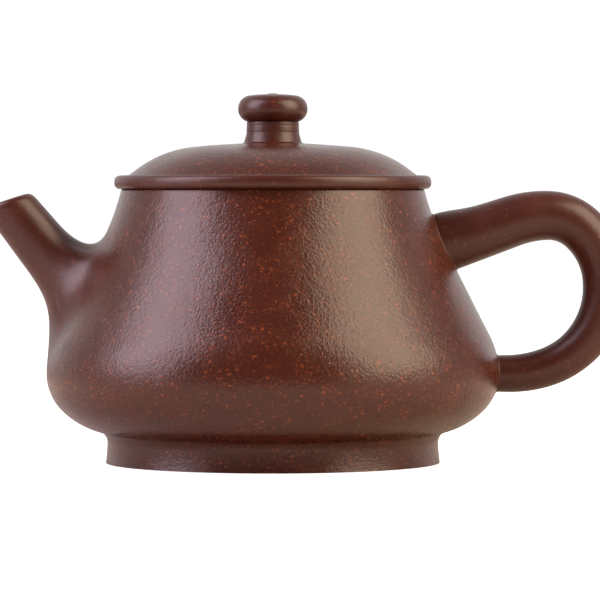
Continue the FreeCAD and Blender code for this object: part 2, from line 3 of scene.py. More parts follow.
import bmesh
import bpy
import numpy as np
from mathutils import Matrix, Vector


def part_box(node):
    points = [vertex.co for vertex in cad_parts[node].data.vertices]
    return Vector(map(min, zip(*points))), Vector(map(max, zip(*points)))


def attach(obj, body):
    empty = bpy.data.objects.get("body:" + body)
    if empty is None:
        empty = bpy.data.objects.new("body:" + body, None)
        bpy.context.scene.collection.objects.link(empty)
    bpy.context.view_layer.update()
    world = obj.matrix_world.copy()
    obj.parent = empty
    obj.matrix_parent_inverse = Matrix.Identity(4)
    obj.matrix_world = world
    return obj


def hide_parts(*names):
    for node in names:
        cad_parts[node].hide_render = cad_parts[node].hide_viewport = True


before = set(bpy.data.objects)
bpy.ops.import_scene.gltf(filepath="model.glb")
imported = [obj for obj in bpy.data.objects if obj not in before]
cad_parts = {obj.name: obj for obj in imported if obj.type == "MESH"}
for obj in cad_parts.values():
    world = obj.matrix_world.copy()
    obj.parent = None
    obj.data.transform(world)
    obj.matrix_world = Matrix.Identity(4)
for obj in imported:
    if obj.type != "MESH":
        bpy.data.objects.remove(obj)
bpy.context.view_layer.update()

# ------------------------------------------------------------------ The wall
# Purple-brown stoneware clay, beaten into a slab, stood up as a drum and paddled in over the hand: a low
# belly, a straight flank and a hollow sweep up to the mouth. The paddle leaves its skin finely wrinkled.
# The wall is 3 mm thick, its lower edge is luted to the foot, and a round port is cut in it for the spout.

MM = 0.001
wall_low, wall_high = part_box("body_wall")
belly, mouth, joint = wall_high.x / MM, wall_high.z / MM, wall_low.z / MM
WALL = 3.0
LIP_ROUND = 0.45
RING_SEAT = 31.6
RING_LEDGE = mouth - 3.0
# Corners of the outer line from the foot's joint to the lip: (across, up, radius of the bend there).
WALL_FOOT = (belly - 11.65, joint, 0)
wall_corners = [
    WALL_FOOT,
    (belly - 6.9, joint + 1.27, 19.0),
    (belly, joint + 7.93, 11.0),
    (belly, joint + 17.22, 19.2),
    (belly - 14.22, mouth - 8.36, 84.0),
    (belly - 16.57, mouth, LIP_ROUND),
    (RING_SEAT, mouth, 0),
]
# The same line up the wall's face alone, with the lip left sharp.
face_corners = wall_corners[:5] + [(*wall_corners[5][:2], 0)]


def outline(corners, step):
    """Points no further apart than step along a line through corners, each (across, up, bend radius). The
    first and last corners are sharp."""
    points = [np.array(corners[0][:2], float)]
    for before, corner, after in zip(corners, corners[1:], corners[2:] + [None]):
        here = np.array(corner[:2], float)
        stretch = [here]
        if after and corner[2]:
            come, leave = here - before[:2], np.array(after[:2]) - here
            turn = math.atan2(come[0] * leave[1] - come[1] * leave[0], come @ leave)
            come /= np.linalg.norm(come)
            start = here - come * corner[2] * math.tan(abs(turn) / 2)
            arm = math.copysign(corner[2], turn) * np.array((come[1], -come[0]))
            swing = np.linspace(0, turn, max(3, math.ceil(abs(turn) * corner[2] / step)) + 1)
            stretch = [
                start - arm + (arm[0] * math.cos(a) - arm[1] * math.sin(a),
                               arm[0] * math.sin(a) + arm[1] * math.cos(a))
                for a in swing
            ]
        gap = stretch[0] - points[-1]
        parts = math.ceil(np.linalg.norm(gap) / step)
        points += [points[-1] + gap * k / parts for k in range(1, parts)] + stretch
    kept = [p for p, q in zip(points, points[1:]) if np.linalg.norm(p - q) > 1e-4]
    return np.array(kept + [points[-1]])


def inset(corners, depth):
    """The line moved depth to the left of the way it runs, with its bends changed to match."""
    moved = []
    for before, corner, after in zip([None] + corners, corners, corners[1:] + [None]):
        here = np.array(corner[:2], float)
        leave = np.array(after[:2]) - here if after else here - before[:2]
        come = here - before[:2] if before else leave
        come, leave = come / np.linalg.norm(come), leave / np.linalg.norm(leave)
        middle = (come + leave) / np.linalg.norm(come + leave)
        left = np.array((-middle[1], middle[0]))
        turn = come[0] * leave[1] - come[1] * leave[0]
        bend = corner[2] and corner[2] - math.copysign(depth, turn)
        moved.append((*(here + left * depth / (middle @ come)), bend))
    return moved


def ease(values, start, stop):
    """0 at start, 1 at stop, smoothly between."""
    t = np.clip((values - start) / (stop - start), 0, 1)
    return t * t * (3 - 2 * t)


def add_node(tree, kind, wires=None, **settings):
    """One node. wires gives each input, by name or number, a value or the socket that feeds it."""
    node = tree.nodes.new(kind)
    for name, value in settings.items():
        setattr(node, name, value)
    for socket, source in (wires or {}).items():
        if isinstance(source, bpy.types.NodeSocket):
            tree.links.new(source, node.inputs[socket])
        else:
            node.inputs[socket].default_value = source
    return node


def clay_tree(name, **inputs):
    """A new geometry tree with named inputs of these socket kinds, and its input node's sockets."""
    tree = bpy.data.node_groups.new(name, "GeometryNodeTree")
    tree.interface.new_socket("Geometry", in_out="INPUT", socket_type="NodeSocketGeometry")
    tree.interface.new_socket("Geometry", in_out="OUTPUT", socket_type="NodeSocketGeometry")
    for label, kind in inputs.items():
        tree.interface.new_socket(label, in_out="INPUT", socket_type="NodeSocket" + kind)
    tree.interface.new_socket("clay", in_out="INPUT", socket_type="NodeSocketMaterial")
    return tree, add_node(tree, "NodeGroupInput").outputs


def close_tree(tree, geometry, clay):
    """Ends a tree as every tree here ends: all instances made real, then the clay."""
    real = add_node(tree, "GeometryNodeRealizeInstances", {0: geometry})
    dressed = add_node(tree, "GeometryNodeSetMaterial", {"Geometry": real.outputs[0], "Material": clay})
    add_node(tree, "NodeGroupOutput", {0: dressed.outputs[0]})


def work(piece, tree, **sizes):
    """Runs piece through a tree with its named inputs set, and keeps the result as a plain mesh."""
    modifier = piece.modifiers.new(tree.name, "NODES")
    modifier.node_group = tree
    for item in tree.interface.items_tree:
        if item.in_out == "INPUT" and item.name in sizes:
            modifier[item.identifier] = sizes[item.name]
    made = bpy.data.meshes.new_from_object(piece.evaluated_get(bpy.context.evaluated_depsgraph_get()))
    piece.modifiers.clear()
    piece.data = made


def raw_piece(name, places, edges=(), faces=(), **shares):
    """A new object from places in mm. shares are numbers kept at each point, such as its girth."""
    mesh = bpy.data.meshes.new(name)
    mesh.from_pydata((np.asarray(places) * MM).tolist(), list(edges), list(faces))
    for label, values in shares.items():
        mesh.attributes.new(label, "FLOAT", "POINT").data.foreach_set("value", np.ravel(values))
    piece = bpy.data.objects.new(name, mesh)
    bpy.context.scene.collection.objects.link(piece)
    return piece


# Turning swings a line once round the pot's axis. Curve to Mesh lays a profile's X outwards from its path
# and its Y downwards, so the path is a circle of 1 mm and the profile is drawn to suit.
HUB = 1.0
turning, socket = clay_tree("turning", turns="Int")
line = add_node(turning, "GeometryNodeMeshToCurve", {0: socket["Geometry"]})
hub = add_node(
    turning, "GeometryNodeCurvePrimitiveCircle", {"Resolution": socket["turns"], "Radius": HUB * MM}
)
swung = add_node(
    turning, "GeometryNodeCurveToMesh", {"Curve": hub.outputs[0], "Profile Curve": line.outputs[0]}
)
merged = add_node(
    turning, "GeometryNodeMergeByDistance", {"Geometry": swung.outputs[0], "Distance": 0.0005 * MM}
)
outward = add_node(turning, "GeometryNodeFlipFaces", {0: merged.outputs[0]})
close_tree(turning, outward.outputs[0], socket["clay"])


def turned(name, points, clay, turns=256, closed=True, beaten=0.0):
    """A turned piece from points (across, up) that run anticlockwise round its section. A closed section
    stands clear of the axis, and an open one begins and ends on it."""
    count = len(points)
    places = [(across - HUB, -up, 0) for across, up in points]
    edges = [(i, (i + 1) % count) for i in range(count if closed else count - 1)]
    piece = raw_piece(name, places, edges, beaten=np.broadcast_to(beaten, count))
    work(piece, turning, turns=turns, clay=clay)
    return piece


# Beating moves the skin along its normal by two noises: slow waves from the hand, and the paddle's
# wrinkles. The point attribute "beaten" is the share of them that each place keeps.
beating, socket = clay_tree(
    "beating", wave_size="Float", wave_depth="Float", wrinkle_size="Float", wrinkle_depth="Float"
)
spot = add_node(beating, "GeometryNodeInputPosition").outputs[0]
normal = add_node(beating, "GeometryNodeInputNormal").outputs[0]
kept = add_node(beating, "GeometryNodeInputNamedAttribute", {"Name": "beaten"}, data_type="FLOAT")
layers = []
for size, depth, twist in (("wave_size", "wave_depth", 0.0), ("wrinkle_size", "wrinkle_depth", 0.5)):
    rate = add_node(beating, "ShaderNodeMath", {0: 1.0, 1: socket[size]}, operation="DIVIDE").outputs[0]
    noise = add_node(
        beating, "ShaderNodeTexNoise", {"Vector": spot, "Scale": rate, "Detail": 1.0, "Distortion": twist}
    )
    # Clay is only pressed in, so the layer hangs below the drawn surface.
    below = add_node(beating, "ShaderNodeMath", {0: noise.outputs[0], 1: 0.75}, operation="SUBTRACT")
    layers.append(
        add_node(beating, "ShaderNodeMath", {0: below.outputs[0], 1: socket[depth]}, operation="MULTIPLY")
    )
both = add_node(beating, "ShaderNodeMath", {0: layers[0].outputs[0], 1: layers[1].outputs[0]})
amount = add_node(beating, "ShaderNodeMath", {0: both.outputs[0], 1: kept.outputs[0]}, operation="MULTIPLY")
push = add_node(beating, "ShaderNodeVectorMath", {0: normal, "Scale": amount.outputs[0]}, operation="SCALE")
pressed = add_node(
    beating, "GeometryNodeSetPosition", {"Geometry": socket["Geometry"], "Offset": push.outputs[0]}
)
close_tree(beating, pressed.outputs[0], socket["clay"])


def clay_colour(hex_code):
    """An sRGB hex colour as linear red, green, blue and alpha."""
    parts = [int(hex_code[i : i + 2], 16) / 255 for i in (1, 3, 5)]
    return [p / 12.92 if p <= 0.04045 else ((p + 0.055) / 1.055) ** 2.4 for p in parts] + [1.0]


def fired_clay(name, body, shade, sand, sand_share, gloss):
    """Unglazed fired clay. body and shade mottle together, sand is the colour of the coarse grains and
    sand_share sets how many cells of the clay hold one, and gloss is the roughness of the skin."""
    clay = bpy.data.materials.new(name)
    clay.use_nodes = True
    tree = clay.node_tree
    tree.nodes.clear()
    place = add_node(tree, "ShaderNodeTexCoord").outputs["Object"]
    beaten = add_node(tree, "ShaderNodeAttribute", attribute_name="beaten").outputs["Fac"]

    # Cloudy mottling 8 mm across, from the wedging of the clay.
    cloud = add_node(tree, "ShaderNodeTexNoise", {"Vector": place, "Scale": 1 / (8 * MM), "Detail": 4.0})
    mottle = add_node(
        tree,
        "ShaderNodeMix",
        {"Factor": cloud.outputs["Fac"], "A": clay_colour(shade), "B": clay_colour(body)},
        data_type="RGBA",
        clamp_factor=True,
    )

    # Sand grains: two sizes of cell, 1.25 mm and 0.75 mm, with at most one ragged grain in each, and more
    # of them in some drifts of the clay than in others.
    ragged = add_node(tree, "ShaderNodeTexNoise", {"Vector": place, "Scale": 1 / (0.6 * MM), "Detail": 2.0})
    shift = add_node(
        tree, "ShaderNodeVectorMath", {0: ragged.outputs["Color"], 1: (0.5, 0.5, 0.5)}, operation="SUBTRACT"
    )
    nudge = add_node(
        tree, "ShaderNodeVectorMath", {0: shift.outputs[0], "Scale": 1.3 * MM}, operation="SCALE"
    )
    bent = add_node(tree, "ShaderNodeVectorMath", {0: place, 1: nudge.outputs[0]})
    # The paddle flattens them, so they are wider than they are tall.
    bent = add_node(
        tree, "ShaderNodeVectorMath", {0: bent.outputs[0], 1: (1.0, 1.0, 1.6)}, operation="MULTIPLY"
    ).outputs[0]
    drift = add_node(tree, "ShaderNodeTexNoise", {"Vector": place, "Scale": 1 / (4 * MM), "Detail": 3.0})
    rubbed = add_node(tree, "ShaderNodeAttribute", attribute_name="rubbed").outputs["Fac"]
    bare = add_node(tree, "ShaderNodeMapRange", {"Value": rubbed, "To Min": 1.0, "To Max": 0.4}).outputs[0]
    colour = mottle.outputs["Result"]
    for cell, cover, strong in ((1.25, 1.0, 1.0), (0.75, 0.7, 0.7)):
        grains = add_node(tree, "ShaderNodeTexVoronoi", {"Vector": bent, "Scale": 1 / (cell * MM)})
        chance = add_node(tree, "ShaderNodeSeparateColor", {0: grains.outputs["Color"]}).outputs
        share = add_node(
            tree,
            "ShaderNodeMapRange",
            {
                "Value": drift.outputs["Fac"],
                "From Min": 0.4,
                "From Max": 0.62,
                "To Min": 0.3 * sand_share * cover,
                "To Max": 2.0 * sand_share * cover,
            },
        )
        share = add_node(tree, "ShaderNodeMath", {0: share.outputs[0], 1: bare}, operation="MULTIPLY")
        here = add_node(tree, "ShaderNodeMath", {0: chance[0], 1: share.outputs[0]}, operation="LESS_THAN")
        girth = add_node(tree, "ShaderNodeMapRange", {"Value": chance[1], "To Min": 0.14, "To Max": 0.36})
        inside = add_node(
            tree,
            "ShaderNodeMath",
            {0: girth.outputs[0], 1: grains.outputs["Distance"]},
            operation="SUBTRACT",
        )
        disc = add_node(
            tree, "ShaderNodeMapRange", {"Value": inside.outputs[0], "From Min": -0.05, "From Max": 0.13}
        )
        fade = add_node(
            tree, "ShaderNodeMapRange", {"Value": chance[2], "To Min": 0.25 * strong, "To Max": strong}
        )
        seen = add_node(
            tree, "ShaderNodeMath", {0: disc.outputs[0], 1: fade.outputs[0]}, operation="MULTIPLY"
        )
        seen = add_node(
            tree, "ShaderNodeMath", {0: seen.outputs[0], 1: here.outputs[0]}, operation="MULTIPLY"
        )
        colour = add_node(
            tree,
            "ShaderNodeMix",
            {"Factor": seen.outputs[0], "A": colour, "B": clay_colour(sand)},
            data_type="RGBA",
        ).outputs["Result"]

    # A rare pale grain of quartz, up to 0.27 mm across, about one to five square centimetres.
    quartz = add_node(tree, "ShaderNodeTexVoronoi", {"Vector": place, "Scale": 1 / (3 * MM)})
    chance = add_node(tree, "ShaderNodeSeparateColor", {0: quartz.outputs["Color"]}).outputs
    near = add_node(
        tree, "ShaderNodeMath", {0: quartz.outputs["Distance"], 1: 0.045}, operation="LESS_THAN"
    )
    few = add_node(tree, "ShaderNodeMath", {0: chance[0], 1: 0.2}, operation="LESS_THAN")
    both = add_node(tree, "ShaderNodeMath", {0: near.outputs[0], 1: few.outputs[0]}, operation="MULTIPLY")
    pale = add_node(tree, "ShaderNodeMath", {0: both.outputs[0], 1: 0.5}, operation="MULTIPLY")
    colour = add_node(
        tree,
        "ShaderNodeMix",
        {"Factor": pale.outputs[0], "A": colour, "B": clay_colour("#c8a48c")},
        data_type="RGBA",
    ).outputs["Result"]

    # Wrinkles of 0.65 mm, finer than the ones beaten into the mesh and strongest where the skin is beaten,
    # and everywhere a fine tooth that fires into the clay: 0.25 mm in the real skin, drawn at 0.4 mm so
    # that it shows.
    wrinkle = add_node(
        tree,
        "ShaderNodeTexNoise",
        {"Vector": place, "Scale": 1 / (0.65 * MM), "Detail": 2.0, "Roughness": 0.6, "Distortion": 0.3},
    )
    worn = add_node(tree, "ShaderNodeMapRange", {"Value": beaten, "To Min": 0.12, "To Max": 1.0})
    deep = add_node(
        tree, "ShaderNodeMath", {0: wrinkle.outputs["Fac"], 1: worn.outputs[0]}, operation="MULTIPLY"
    )
    tooth = add_node(tree, "ShaderNodeTexNoise", {"Vector": place, "Scale": 1 / (0.4 * MM), "Detail": 1.0})
    fine = add_node(tree, "ShaderNodeMath", {0: tooth.outputs["Fac"], 1: 0.22}, operation="MULTIPLY")
    height = add_node(tree, "ShaderNodeMath", {0: deep.outputs[0], 1: fine.outputs[0]})
    relief = add_node(tree, "ShaderNodeBump", {"Height": height.outputs[0], "Distance": 0.1 * MM})
    skin = add_node(
        tree,
        "ShaderNodeMapRange",
        {
            "Value": cloud.outputs["Fac"],
            "From Min": 0.3,
            "From Max": 0.7,
            "To Min": gloss - 0.03,
            "To Max": gloss + 0.03,
        },
    )
    # A rubbed patch of beaten skin is as soft in its shine as the burnished pieces.
    dulled = add_node(tree, "ShaderNodeMath", {0: rubbed, 1: 0.09}, operation="MULTIPLY")
    skin = add_node(tree, "ShaderNodeMath", {0: skin.outputs[0], 1: dulled.outputs[0]})
    surface = add_node(
        tree,
        "ShaderNodeBsdfPrincipled",
        {"Base Color": colour, "Roughness": skin.outputs[0], "IOR": 1.5, "Normal": relief.outputs[0]},
    )
    add_node(tree, "ShaderNodeOutputMaterial", {"Surface": surface.outputs[0]})
    return clay


# Beaten skin: the paddle brings the orange sand up and wrinkles the surface, which breaks up its shine.
beaten_clay = fired_clay("beaten_clay", "#471c0d", "#3a160a", "#84401f", 0.85, 0.28)

# The port, and the patch of wall that the spout's root is drawn out over: an oval, measured on the wall.
SPOUT_LEAN = math.radians(50)
SPOUT_START = np.array((-36.8, 0.0, 31.4))
along = np.array((-math.cos(SPOUT_LEAN), 0.0, math.sin(SPOUT_LEAN)))
above = np.array((math.sin(SPOUT_LEAN), 0.0, math.cos(SPOUT_LEAN)))
aside = np.array((0.0, 1.0, 0.0))
PORT = 6.5
ROOT_MIDDLE, ROOT_TALL, ROOT_WIDE = 36.45, 15.4, 15.5
# Where the handle's two ends meet the wall, and the bar's radius there.
HANDLE_JOINTS = ((38.1, 48.2, 6.2), (50.0, 19.65, 4.1))

outer_line = outline(wall_corners, 0.45)
inner_line = outline(inset(face_corners, WALL), 2.5)
inner_line = inner_line[inner_line[:, 1] < RING_LEDGE - 0.2][::-1]
wall_line = np.vstack([outer_line, [(RING_SEAT, RING_LEDGE)], inner_line])
share = np.zeros(len(wall_line))
up = outer_line[:, 1]
share[: len(up)] = ease(up, joint + 1.5, joint + 9) * ease(up, mouth - 0.5, mouth - 2.5)
body_wall = turned("clay_body_wall", wall_line, beaten_clay, turns=540, beaten=share)

# The skin is left calm round the spout's root and the handle's joints, where the maker's fingers
# smoothed it.
flat = np.empty(len(body_wall.data.vertices) * 3)
body_wall.data.vertices.foreach_get("co", flat)
x, y, z = flat.reshape(-1, 3).T / MM
share = np.empty(len(x))
beaten = body_wall.data.attributes["beaten"].data
beaten.foreach_get("value", share)
across = np.arctan2(y, -x) * np.hypot(x, y)
oval = np.hypot(across / ROOT_WIDE, (z - ROOT_MIDDLE) / ROOT_TALL)
share *= ease(oval, 1.0, 1.15)
rubbed = 1 - ease(oval, 1.0, 1.2)
for reach, height, girth in HANDLE_JOINTS:
    away = np.sqrt((x - reach) ** 2 + y**2 + (z - height) ** 2)
    share *= ease(away, girth + 0.3, girth + 3)
beaten.foreach_set("value", share)
body_wall.data.attributes.new("rubbed", "FLOAT", "POINT").data.foreach_set("value", rubbed)
work(
    body_wall,
    beating,
    wave_size=11 * MM,
    wave_depth=0.16 * MM,
    wrinkle_size=1.7 * MM,
    wrinkle_depth=0.065 * MM,
    clay=beaten_clay,
)

# The port is pierced along the spout's line.
piercing, socket = clay_tree("piercing", girth="Float", start="Vector", lean="Float")
rod = add_node(
    piercing, "GeometryNodeMeshCylinder", {"Vertices": 96, "Radius": socket["girth"], "Depth": 26 * MM}
)
turn = add_node(piercing, "ShaderNodeCombineXYZ", {"Y": socket["lean"]})
stood = add_node(
    piercing,
    "GeometryNodeTransform",
    {"Geometry": rod.outputs[0], "Translation": socket["start"], "Rotation": turn.outputs[0]},
)
holed = add_node(
    piercing,
    "GeometryNodeMeshBoolean",
    {"Mesh 1": socket["Geometry"], "Mesh 2": stood.outputs[0]},
    operation="DIFFERENCE",
    solver="MANIFOLD",
)
close_tree(piercing, holed.outputs[0], socket["clay"])
work(
    body_wall,
    piercing,
    girth=PORT * MM,
    start=(SPOUT_START + 5 * along) * MM,
    lean=SPOUT_LEAN - math.pi / 2,
    clay=beaten_clay,
)


def give(piece, body, slot, *nodes):
    """Smooths a piece's skin, keeps its sharp edges, and gives it to its body."""
    piece.data.shade_smooth()
    piece.data.set_sharp_from_angle(angle=math.radians(40))
    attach(piece, body)
    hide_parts(*nodes)


give(body_wall, "pot", "textured_clay", "body_wall")

# ------------------------------------------------------------------ The spout
# Rolled on a tapered stick and luted over the port, leaning out at 50 degrees. Its root is drawn out over
# the wall and rubbed in until no seam shows, long under the spout and tight in the crook above it, then
# the whole is burnished with a horn tool. The tip is cut nearly level and its lip rounded over.

# Burnished skin: rubbed with horn until it closes over, which buries most of the sand and shines softly.
burnished_clay = fired_clay("burnished_clay", "#471b0e", "#3a150b", "#6a3420", 0.3, 0.37)

SIDES = 220
TIP_POINT = np.array((-58.9, 0.0, 57.9))
TIP_TILT = math.radians(18.5)
tip_normal = np.array((-math.sin(TIP_TILT), 0.0, math.cos(TIP_TILT)))
TIP_GIRTH = 5.5
BORE = 3.3
round_turn = np.linspace(0, 2 * math.pi, SIDES, endpoint=False)
# 1 on top of the spout, -1 underneath.
lift = np.cos(round_turn)
outward = lift[:, None] * above + np.sin(round_turn)[:, None] * aside
# The shaft is a cone as long as this, and swells a little more underneath than on top.
SHAFT = 31
swell = 0.0455 - 0.0215 * lift


def shaft_skin(reach):
    """The ring of points on the shaft at these reaches along it."""
    girth = TIP_GIRTH + swell * np.maximum(SHAFT - reach, 0)
    return SPOUT_START + np.multiply.outer(reach, along) + girth[:, None] * outward


def wall_patch(depth):
    """The root's edge, drawn on the wall at that depth below its face, and the wall's normal there."""
    height = ROOT_MIDDLE + ROOT_TALL * lift
    faces = outer_line[outer_line[:, 1] < mouth - LIP_ROUND]
    reach = np.interp(height, faces[:, 1], faces[:, 0])
    slope = np.interp(height, faces[:, 1], np.gradient(faces[:, 0], faces[:, 1]))
    turn = ROOT_WIDE * np.sin(round_turn) / reach
    lean = np.stack([-np.cos(turn), np.sin(turn), -slope], axis=1)
    lean /= np.linalg.norm(lean, axis=1)[:, None]
    spots = np.stack([-reach * np.cos(turn), reach * np.sin(turn), height], axis=1)
    return spots - depth * lean, lean


def unit(rows):
    return rows / np.linalg.norm(rows, axis=1)[:, None]


rings = []
edge, lean = wall_patch(0.0)
sideways = (1 - lift**2) * (1 - 0.6 * np.maximum(lift, 0))
root_reach = 21.5 + 1.5 * lift + 8 * sideways
shaft_start = shaft_skin(root_reach)
gap = shaft_start - edge
span = np.linalg.norm(gap, axis=1)[:, None]
# Above and below, the root leaves the wall square to its own edge, and at the sides it leans to the shaft.
rim = np.roll(edge, -1, axis=0) - np.roll(edge, 1, axis=0)
square = unit(np.cross(lean, rim))
leaning = unit(gap - np.sum(gap * lean, axis=1)[:, None] * lean)
leave_wall = unit(square * lift[:, None] ** 2 + leaning * (1 - lift[:, None] ** 2))
meet_shaft = unit(swell[:, None] * outward - along)
edge_pull = edge + leave_wall * span * (0.55 + 0.03 * lift - 0.13 * sideways)[:, None]
shaft_pull = shaft_start + meet_shaft * span * (0.48 + 0.04 * lift - 0.12 * sideways)[:, None]
for t in np.linspace(0, 1, 52):
    rings.append(
        (1 - t) ** 3 * edge
        + 3 * t * (1 - t) ** 2 * edge_pull
        + 3 * t**2 * (1 - t) * shaft_pull
        + t**3 * shaft_start
    )

# Up the shaft, over the lip and down the bore.
LIP_OUT, LIP_IN = 1.9, 0.8
tip_reach = (TIP_POINT - SPOUT_START) @ tip_normal
rise = above @ tip_normal
lip_reach = (tip_reach - TIP_GIRTH * lift * rise) / (along @ tip_normal)
bore_reach = (tip_reach - BORE * lift * rise) / (along @ tip_normal)
for t in np.linspace(0, 1, 40)[1:]:
    rings.append(shaft_skin(root_reach + (lip_reach - LIP_OUT - root_reach) * t))
lip = SPOUT_START + np.multiply.outer(lip_reach, along) + TIP_GIRTH * outward
bore_lip = SPOUT_START + np.multiply.outer(bore_reach, along) + BORE * outward
inwards = unit(bore_lip - lip)
for start, corner, stop in (
    (lip - LIP_OUT * along, lip, lip + LIP_OUT * 0.7 * inwards),
    (bore_lip - LIP_IN * 0.7 * inwards, bore_lip, bore_lip - LIP_IN * along),
):
    for t in np.linspace(0, 1, 8):
        rings.append((1 - t) ** 2 * start + 2 * t * (1 - t) * corner + t**2 * stop)
# The bore widens to the port, and stops half way through the wall.
PORT_ROOM = 0.25
low, high = np.full(SIDES, -8.0), np.full(SIDES, 20.0)
mid_line = outline(inset(face_corners, WALL / 2), 1.0)
for _ in range(30):
    port_reach = (low + high) / 2
    spots = SPOUT_START + np.multiply.outer(port_reach, along) + (PORT + PORT_ROOM) * outward
    inside = np.hypot(spots[:, 0], spots[:, 1]) < np.interp(spots[:, 2], mid_line[:, 1], mid_line[:, 0])
    low, high = np.where(inside, port_reach, low), np.where(inside, high, port_reach)
for t in np.linspace(0, 1, 26)[1:]:
    reach = bore_reach - LIP_IN + (port_reach - bore_reach + LIP_IN) * t
    girth = BORE + (PORT + PORT_ROOM - BORE) * ease(reach, 22, 10)
    rings.append(SPOUT_START + np.multiply.outer(reach, along) + girth[:, None] * outward)
rings.append(wall_patch(WALL / 2)[0])

count = len(rings)
near = np.arange(count * SIDES).reshape(count, SIDES)
far = np.roll(near, -1, axis=0)
quads = np.stack([near, np.roll(near, -1, 1), np.roll(far, -1, 1), far], axis=-1).reshape(-1, 4)
spout = raw_piece(
    "clay_spout", np.concatenate(rings), faces=quads.tolist(), beaten=np.full(count * SIDES, 0.2)
)
spout.data.materials.append(burnished_clay)
give(spout, "pot", "burnished_clay", "spout")

# ------------------------------------------------------------------ The strainer
# A little dome of clay pierced with a needle while soft and luted over the port inside the pot, where it
# keeps the leaves out of the spout.

# Inside and underneath the clay is only wiped, so it is duller and a little paler.
wiped_clay = fired_clay("wiped_clay", "#4e2418", "#401c13", "#86452c", 0.25, 0.5)
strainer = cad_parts["strainer"]
strainer.data.materials.clear()
strainer.data.materials.append(wiped_clay)

# ------------------------------------------------------------------ The handle
# A bar rolled thinner to one end, bent into an ear while soft and luted to the wall. Both joints are left
# as crisp lines, with a thread of slip along them.

BAR_START = np.array((36.4, 47.62))
BAR_RISE = math.radians(19.1)
# Its radius at the root, on the crown, at the back, low down and at the end.
BAR_GIRTHS = (6.18, 5.42, 5.1, 4.4, 4.05)
# Stretches of its middle line: (length, None) where it is straight, or (degrees, radius) in a bend.
BAR_RUN = (
    (17.11, None),
    (19.1, 25.0),
    (41.44, 11.0),
    (48.56, 16.47),
    (20.0, 20.0),
    (50.0, 19.13),
    (20.0, 26.21),
    (3.5, None),
)
heading, here = BAR_RISE, BAR_START
bar_path = [here]
for amount, bend in BAR_RUN:
    length = amount if bend is None else math.radians(amount) * bend
    parts = math.ceil(length / 0.45)
    turn = 0.0 if bend is None else length / parts / bend
    for _ in range(parts):
        way = heading - turn / 2
        here = here + length / parts * np.array((math.cos(way), math.sin(way)))
        heading -= turn
        bar_path.append(here)
bar_path = np.array(bar_path)
gone = np.concatenate([[0], np.cumsum(np.linalg.norm(np.diff(bar_path, axis=0), axis=1))])
crown, back = gone[np.argmax(bar_path[:, 1])], gone[np.argmax(bar_path[:, 0])]
girth = np.interp(gone, [0, crown, back, (back + gone[-1]) / 2, gone[-1]], BAR_GIRTHS)

# The bar's skin as rings of points. Over the last 12 mm to the wall the root swells 1 mm on its upper side.
SLICES = 120
slice_turn = np.linspace(0, 2 * math.pi, SLICES, endpoint=False)
way = np.gradient(bar_path, axis=0)
way /= np.linalg.norm(way, axis=1)[:, None]
upright = np.stack([-way[:, 1], 0 * way[:, 0], way[:, 0]], axis=1)
flare = ease(gone, 15, 2)[:, None] ** 2 * (1 + np.cos(slice_turn)) / 2
bar_skin = (
    np.stack([bar_path[:, 0], 0 * gone, bar_path[:, 1]], axis=1)[:, None]
    + (girth[:, None] * np.cos(slice_turn) + flare)[..., None] * upright[:, None]
    + (girth[:, None] * np.sin(slice_turn))[..., None] * aside
)

# The thread of slip lies where that skin comes out of the wall: one loop at the root and one at the end.
THREAD = 0.24
wall_reach = np.interp(bar_skin[..., 2], outer_line[:, 1], outer_line[:, 0])
clear = np.hypot(bar_skin[..., 0], bar_skin[..., 1]) - wall_reach
loops = []
for skin, room in ((bar_skin, clear), (bar_skin[::-1], clear[::-1])):
    first = np.argmax(room > 0, axis=0)
    rows = np.arange(SLICES)
    inside, outside = room[first - 1, rows], room[first, rows]
    part = (inside / (inside - outside))[:, None]
    loops.append(skin[first - 1, rows] * (1 - part) + skin[first, rows] * part)

rolling, socket = clay_tree("rolling", sides="Int", girth="Float")
path = add_node(rolling, "GeometryNodeMeshToCurve", {0: socket["Geometry"]})
section = add_node(
    rolling, "GeometryNodeCurvePrimitiveCircle", {"Resolution": socket["sides"], "Radius": socket["girth"]}
)
thread = add_node(
    rolling, "GeometryNodeCurveToMesh", {"Curve": path.outputs[0], "Profile Curve": section.outputs[0]}
)
close_tree(rolling, thread.outputs[0], socket["clay"])
places = np.concatenate(loops)
edges = [(k * SLICES + i, k * SLICES + (i + 1) % SLICES) for k in range(2) for i in range(SLICES)]
threads = raw_piece("slip_threads", places, edges)
work(threads, rolling, sides=12, girth=THREAD * MM, clay=burnished_clay)

count = len(bar_path)
near = np.arange(count * SLICES).reshape(count, SLICES)
here, beyond = near[:-1], near[1:]
quads = np.stack([here, beyond, np.roll(beyond, -1, 1), np.roll(here, -1, 1)], axis=-1).reshape(-1, 4)
caps = [near[0].tolist(), near[-1][::-1].tolist()]
handle = raw_piece(
    "clay_handle",
    bar_skin.reshape(-1, 3),
    faces=quads.tolist() + caps,
    beaten=np.full(count * SLICES, 0.15),
)
handle.data.materials.append(burnished_clay)
whole = bmesh.new()
whole.from_mesh(handle.data)
whole.from_mesh(threads.data)
whole.to_mesh(handle.data)
whole.free()
bpy.data.objects.remove(threads)
give(handle, "pot", "burnished_clay", "handle")

# ------------------------------------------------------------------ Mouth ring, base and foot
# The mouth ring is luted inside the top of the wall and bored for the lid. The base is a plain slab, and
# the foot is turned with a hollow waist whose slip fillet runs up under the belly.

